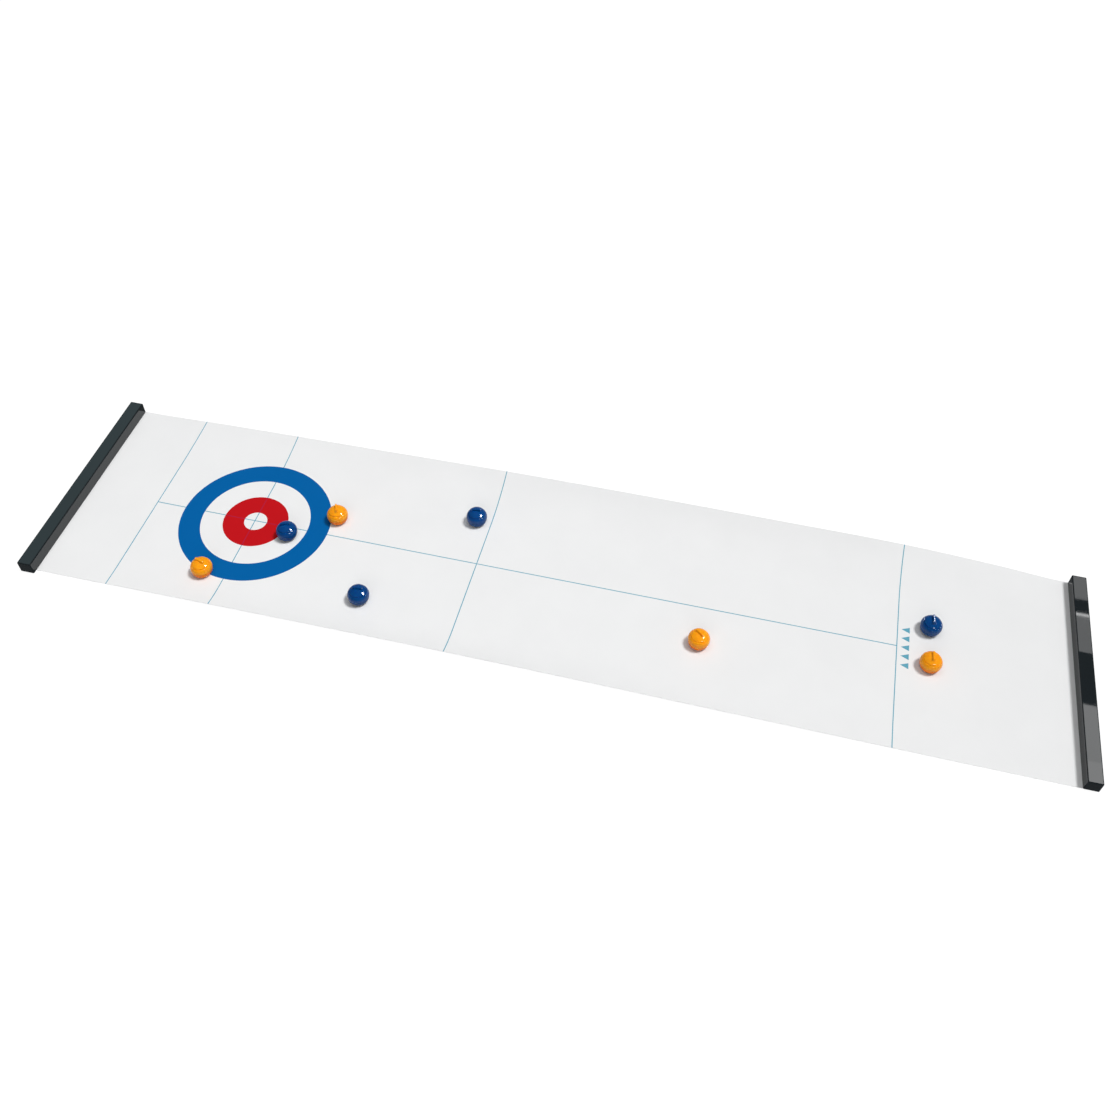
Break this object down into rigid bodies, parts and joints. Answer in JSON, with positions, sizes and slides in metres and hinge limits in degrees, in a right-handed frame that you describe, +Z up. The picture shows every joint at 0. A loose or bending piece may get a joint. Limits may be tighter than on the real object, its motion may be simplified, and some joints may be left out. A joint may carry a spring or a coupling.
{
  "type": "tabletop curling mat",
  "caption": "Flexible printed target mat with a weighted bar across each end and low domed stones that roll on a captive ball and spin on their own axis.",
  "frame": {"origin": "centre of the mat's underside, on the surface that it lies on", "axes": "+X along the mat towards the start end, +Y across it, +Z up"},
  "size_m": [1.2294, 0.28, 0.024],
  "materials": {
    "mat_vinyl": "satin white flexible vinyl sheet with a printed target and court lines",
    "bar_gloss_black": "high gloss moulded black",
    "bar_plate": "matte black",
    "screw_steel": "zinc-plated",
    "tape": "translucent off-white adhesive tape",
    "grip_rubber": "matte ribbed",
    "stone_orange": "glossy",
    "stone_blue": "glossy",
    "cup_acetal": "smooth white acetal",
    "retainer": "matte dark grey",
    "ball_steel": "polished bearing steel"
  },
  "bodies": {
    "mat": {"mat": "mat_vinyl"},
    "bar_left": {"bar_left_shell": "bar_gloss_black", "bar_left_plate": "bar_plate", "bar_left_screws": "screw_steel", "bar_left_tape": "tape", "bar_left_grip": "grip_rubber"},
    "bar_right": {"bar_right_shell": "bar_gloss_black", "bar_right_plate": "bar_plate", "bar_right_screws": "screw_steel", "bar_right_tape": "tape", "bar_right_grip": "grip_rubber"},
    "stone_orange_1_race": {"stone_orange_1_beads": "ball_steel"},
    "stone_orange_1_housing": {"stone_orange_1_cap": "stone_orange", "stone_orange_1_base": "stone_orange", "stone_orange_1_cup": "cup_acetal", "stone_orange_1_retainer": "retainer"},
    "stone_orange_1_ball": {"stone_orange_1_ball": "ball_steel"},
    "stone_orange_2_race": {"stone_orange_2_beads": "ball_steel"},
    "stone_orange_2_housing": {"stone_orange_2_cap": "stone_orange", "stone_orange_2_base": "stone_orange", "stone_orange_2_cup": "cup_acetal", "stone_orange_2_retainer": "retainer"},
    "stone_orange_2_ball": {"stone_orange_2_ball": "ball_steel"},
    "stone_orange_3_race": {"stone_orange_3_beads": "ball_steel"},
    "stone_orange_3_housing": {"stone_orange_3_cap": "stone_orange", "stone_orange_3_base": "stone_orange", "stone_orange_3_cup": "cup_acetal", "stone_orange_3_retainer": "retainer"},
    "stone_orange_3_ball": {"stone_orange_3_ball": "ball_steel"},
    "stone_orange_4_race": {"stone_orange_4_beads": "ball_steel"},
    "stone_orange_4_housing": {"stone_orange_4_cap": "stone_orange", "stone_orange_4_base": "stone_orange", "stone_orange_4_cup": "cup_acetal", "stone_orange_4_retainer": "retainer"},
    "stone_orange_4_ball": {"stone_orange_4_ball": "ball_steel"},
    "stone_blue_1_race": {"stone_blue_1_beads": "ball_steel"},
    "stone_blue_1_housing": {"stone_blue_1_cap": "stone_blue", "stone_blue_1_base": "stone_blue", "stone_blue_1_cup": "cup_acetal", "stone_blue_1_retainer": "retainer"},
    "stone_blue_1_ball": {"stone_blue_1_ball": "ball_steel"},
    "stone_blue_2_race": {"stone_blue_2_beads": "ball_steel"},
    "stone_blue_2_housing": {"stone_blue_2_cap": "stone_blue", "stone_blue_2_base": "stone_blue", "stone_blue_2_cup": "cup_acetal", "stone_blue_2_retainer": "retainer"},
    "stone_blue_2_ball": {"stone_blue_2_ball": "ball_steel"},
    "stone_blue_3_race": {"stone_blue_3_beads": "ball_steel"},
    "stone_blue_3_housing": {"stone_blue_3_cap": "stone_blue", "stone_blue_3_base": "stone_blue", "stone_blue_3_cup": "cup_acetal", "stone_blue_3_retainer": "retainer"},
    "stone_blue_3_ball": {"stone_blue_3_ball": "ball_steel"},
    "stone_blue_4_race": {"stone_blue_4_beads": "ball_steel"},
    "stone_blue_4_housing": {"stone_blue_4_cap": "stone_blue", "stone_blue_4_base": "stone_blue", "stone_blue_4_cup": "cup_acetal", "stone_blue_4_retainer": "retainer"},
    "stone_blue_4_ball": {"stone_blue_4_ball": "ball_steel"}
  },
  "joints": [
    {"name": "bar_left_lift", "type": "hinge", "parent": "mat", "child": "bar_left", "pos_m": [-0.5677, 0, 0.00025], "axis": [0, 1, 0], "range_deg": [0, 90], "deforming": ["mat"]},
    {"name": "bar_right_lift", "type": "hinge", "parent": "mat", "child": "bar_right", "pos_m": [0.5677, 0, 0.00025], "axis": [0, 1, 0], "range_deg": [-90, 0], "deforming": ["mat"]},
    {"name": "stone_orange_1_glide", "type": "slide", "parent": "mat", "child": "stone_orange_1_race", "axis": [1, 0, 0], "range_m": [-0.3002, 0.6942]},
    {"name": "stone_orange_1_spin", "type": "hinge", "parent": "stone_orange_1_race", "child": "stone_orange_1_housing", "pos_m": [-0.2845, 0.0235, 0.0005], "axis": [0, 0, 1], "continuous": true},
    {"name": "stone_orange_1_roll", "type": "hinge", "parent": "stone_orange_1_race", "child": "stone_orange_1_ball", "pos_m": [-0.2845, 0.0235, 0.00603], "axis": [0, 1, 0], "continuous": true},
    {"name": "stone_orange_2_glide", "type": "slide", "parent": "mat", "child": "stone_orange_2_race", "axis": [1, 0, 0], "range_m": [-0.1754, 0.1661]},
    {"name": "stone_orange_2_spin", "type": "hinge", "parent": "stone_orange_2_race", "child": "stone_orange_2_housing", "pos_m": [-0.4093, -0.091, 0.0005], "axis": [0, 0, 1], "continuous": true},
    {"name": "stone_orange_2_roll", "type": "hinge", "parent": "stone_orange_2_race", "child": "stone_orange_2_ball", "pos_m": [-0.4093, -0.091, 0.00603], "axis": [0, 1, 0], "continuous": true},
    {"name": "stone_orange_3_glide", "type": "slide", "parent": "mat", "child": "stone_orange_3_race", "axis": [1, 0, 0], "range_m": [-0.7607, 0.4087]},
    {"name": "stone_orange_3_spin", "type": "hinge", "parent": "stone_orange_3_race", "child": "stone_orange_3_housing", "pos_m": [0.176, -0.0538, 0.0005], "axis": [0, 0, 1], "continuous": true},
    {"name": "stone_orange_3_roll", "type": "hinge", "parent": "stone_orange_3_race", "child": "stone_orange_3_ball", "pos_m": [0.176, -0.0538, 0.00603], "axis": [0, 1, 0], "continuous": true},
    {"name": "stone_orange_4_glide", "type": "slide", "parent": "mat", "child": "stone_orange_4_race", "axis": [1, 0, 0], "range_m": [-0.7458, 0.149]},
    {"name": "stone_orange_4_spin", "type": "hinge", "parent": "stone_orange_4_race", "child": "stone_orange_4_housing", "pos_m": [0.4357, -0.023, 0.0005], "axis": [0, 0, 1], "continuous": true},
    {"name": "stone_orange_4_roll", "type": "hinge", "parent": "stone_orange_4_race", "child": "stone_orange_4_ball", "pos_m": [0.4357, -0.023, 0.00603], "axis": [0, 1, 0], "continuous": true},
    {"name": "stone_blue_1_glide", "type": "slide", "parent": "mat", "child": "stone_blue_1_race", "axis": [1, 0, 0], "range_m": [-0.2501, 0.7458]},
    {"name": "stone_blue_1_spin", "type": "hinge", "parent": "stone_blue_1_race", "child": "stone_blue_1_housing", "pos_m": [-0.3346, -0.0153, 0.0005], "axis": [0, 0, 1], "continuous": true},
    {"name": "stone_blue_1_roll", "type": "hinge", "parent": "stone_blue_1_race", "child": "stone_blue_1_ball", "pos_m": [-0.3346, -0.0153, 0.00603], "axis": [0, 1, 0], "continuous": true},
    {"name": "stone_blue_2_glide", "type": "slide", "parent": "mat", "child": "stone_blue_2_race", "axis": [1, 0, 0], "range_m": [-0.4661, 0.7033]},
    {"name": "stone_blue_2_spin", "type": "hinge", "parent": "stone_blue_2_race", "child": "stone_blue_2_housing", "pos_m": [-0.1186, 0.0616, 0.0005], "axis": [0, 0, 1], "continuous": true},
    {"name": "stone_blue_2_roll", "type": "hinge", "parent": "stone_blue_2_race", "child": "stone_blue_2_ball", "pos_m": [-0.1186, 0.0616, 0.00603], "axis": [0, 1, 0], "continuous": true},
    {"name": "stone_blue_3_glide", "type": "slide", "parent": "mat", "child": "stone_blue_3_race", "axis": [1, 0, 0], "range_m": [-0.1661, 0.8028]},
    {"name": "stone_blue_3_spin", "type": "hinge", "parent": "stone_blue_3_race", "child": "stone_blue_3_housing", "pos_m": [-0.2181, -0.0856, 0.0005], "axis": [0, 0, 1], "continuous": true},
    {"name": "stone_blue_3_roll", "type": "hinge", "parent": "stone_blue_3_race", "child": "stone_blue_3_ball", "pos_m": [-0.2181, -0.0856, 0.00603], "axis": [0, 1, 0], "continuous": true},
    {"name": "stone_blue_4_glide", "type": "slide", "parent": "mat", "child": "stone_blue_4_race", "axis": [1, 0, 0], "range_m": [-0.6942, 0.1498]},
    {"name": "stone_blue_4_spin", "type": "hinge", "parent": "stone_blue_4_race", "child": "stone_blue_4_housing", "pos_m": [0.4349, 0.0284, 0.0005], "axis": [0, 0, 1], "continuous": true},
    {"name": "stone_blue_4_roll", "type": "hinge", "parent": "stone_blue_4_race", "child": "stone_blue_4_ball", "pos_m": [0.4349, 0.0284, 0.00603], "axis": [0, 1, 0], "continuous": true}
  ],
  "couplings": [
    {"joint": "stone_orange_1_roll", "follows": "stone_orange_1_glide", "rad_per_m": 181.82},
    {"joint": "stone_orange_2_roll", "follows": "stone_orange_2_glide", "rad_per_m": 181.82},
    {"joint": "stone_orange_3_roll", "follows": "stone_orange_3_glide", "rad_per_m": 181.82},
    {"joint": "stone_orange_4_roll", "follows": "stone_orange_4_glide", "rad_per_m": 181.82},
    {"joint": "stone_blue_1_roll", "follows": "stone_blue_1_glide", "rad_per_m": 181.82},
    {"joint": "stone_blue_2_roll", "follows": "stone_blue_2_glide", "rad_per_m": 181.82},
    {"joint": "stone_blue_3_roll", "follows": "stone_blue_3_glide", "rad_per_m": 181.82},
    {"joint": "stone_blue_4_roll", "follows": "stone_blue_4_glide", "rad_per_m": 181.82}
  ]
}
